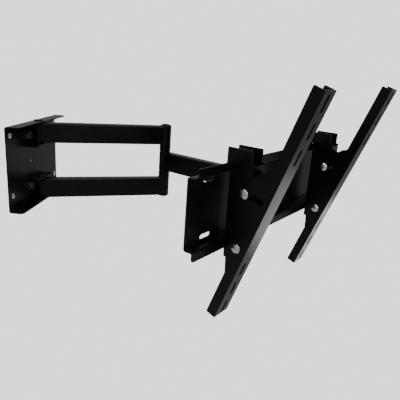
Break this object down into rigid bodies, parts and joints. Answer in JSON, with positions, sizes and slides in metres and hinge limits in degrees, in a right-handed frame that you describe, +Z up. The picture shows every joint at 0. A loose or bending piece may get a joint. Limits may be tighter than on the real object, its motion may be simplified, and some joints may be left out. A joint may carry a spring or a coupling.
{
  "type": "full motion tv wall mount",
  "caption": "Full motion television wall mount: a twin-tube arm, a forearm and a swivelling crossbar that carries two sliding hook brackets with tilting slotted rails.",
  "frame": {"origin": "centre of the wall plate's back face, which rests on the wall", "axes": "+Z up, +Y into the wall, -Y out into the room, +X to the right of someone who faces the wall"},
  "size_m": [0.4373, 0.7009, 0.3938],
  "materials": {
    "black_paint": "satin black powder coat",
    "zinc": "bright zinc plate",
    "nylon": "matte"
  },
  "bodies": {
    "wall": {"lower_shoulder_clip": "zinc", "lower_shoulder_pin": "black_paint", "lower_wall_tab": "black_paint", "upper_shoulder_clip": "zinc", "upper_shoulder_pin": "black_paint", "upper_wall_tab": "black_paint", "wall_corner_screw_1": "zinc", "wall_corner_screw_2": "zinc", "wall_corner_screw_3": "zinc", "wall_corner_screw_4": "zinc", "wall_lag_bolt_1": "zinc", "wall_lag_bolt_2": "zinc", "wall_lag_bolt_3": "zinc", "wall_lag_bolt_4": "zinc", "wall_lag_washer_1": "zinc", "wall_lag_washer_2": "zinc", "wall_lag_washer_3": "zinc", "wall_lag_washer_4": "zinc", "wall_plate": "black_paint"},
    "arm": {"elbow_bolt": "black_paint", "elbow_cap_nut": "black_paint", "lower_arm_tube": "black_paint", "lower_elbow_knuckle": "black_paint", "lower_shoulder_bottom_bush": "nylon", "lower_shoulder_sleeve": "black_paint", "lower_shoulder_top_bush": "nylon", "upper_arm_tube": "black_paint", "upper_elbow_knuckle": "black_paint", "upper_shoulder_bottom_bush": "nylon", "upper_shoulder_sleeve": "black_paint", "upper_shoulder_top_bush": "nylon"},
    "forearm": {"elbow_bottom_bush": "nylon", "elbow_top_bush": "nylon", "forearm_tube": "black_paint", "head_bottom_bush": "nylon", "head_sleeve": "black_paint", "head_top_bush": "nylon", "middle_elbow_knuckle": "black_paint"},
    "head": {"crossbar": "black_paint", "swivel_bolt": "black_paint", "swivel_bracket": "black_paint", "swivel_nut": "black_paint"},
    "left_bracket": {"left_hook_bracket": "black_paint", "left_lock_bolt": "zinc", "left_lock_nut": "zinc", "left_lock_spacer": "zinc", "left_tilt_spacer": "zinc"},
    "left_rail_tilt": {"left_rail": "black_paint", "left_tilt_bolt": "zinc", "left_tilt_nut": "zinc"},
    "right_bracket": {"right_hook_bracket": "black_paint", "right_lock_bolt": "zinc", "right_lock_nut": "zinc", "right_lock_spacer": "zinc", "right_tilt_spacer": "zinc"},
    "right_rail_tilt": {"right_rail": "black_paint", "right_tilt_bolt": "zinc", "right_tilt_nut": "zinc"}
  },
  "joints": [
    {"name": "shoulder_swing", "type": "hinge", "parent": "wall", "child": "arm", "pos_m": [0, -0.0145, 0], "axis": [0, 0, 1], "range_deg": [-55, 43]},
    {"name": "elbow_swing", "type": "hinge", "parent": "arm", "child": "forearm", "pos_m": [0.09777, -0.25649, 0], "axis": [0, 0, 1], "range_deg": [-25, 114]},
    {"name": "head_swivel", "type": "hinge", "parent": "forearm", "child": "head", "pos_m": [-0.0301, -0.45722, 0], "axis": [0, 0, 1], "range_deg": [-45, 45]},
    {"name": "left_bracket_slide", "type": "slide", "parent": "head", "child": "left_bracket", "axis": [0.8434, -0.5373, 0], "range_m": [-0.065, 0.075]},
    {"name": "left_tilt", "type": "hinge", "parent": "left_bracket", "child": "left_rail_tilt", "pos_m": [-0.19718, -0.43509, -0.0624], "axis": [0.8434, -0.5373, 0], "range_deg": [-19.5, 0]},
    {"name": "right_bracket_slide", "type": "slide", "parent": "head", "child": "right_bracket", "axis": [0.8434, -0.5373, 0], "range_m": [-0.075, 0.065]},
    {"name": "right_tilt", "type": "hinge", "parent": "right_bracket", "child": "right_rail_tilt", "pos_m": [0.06056, -0.59929, -0.0624], "axis": [0.8434, -0.5373, 0], "range_deg": [-19.5, 0]}
  ],
  "couplings": [
    {"joint": "right_tilt", "follows": "left_tilt", "ratio": 1}
  ]
}
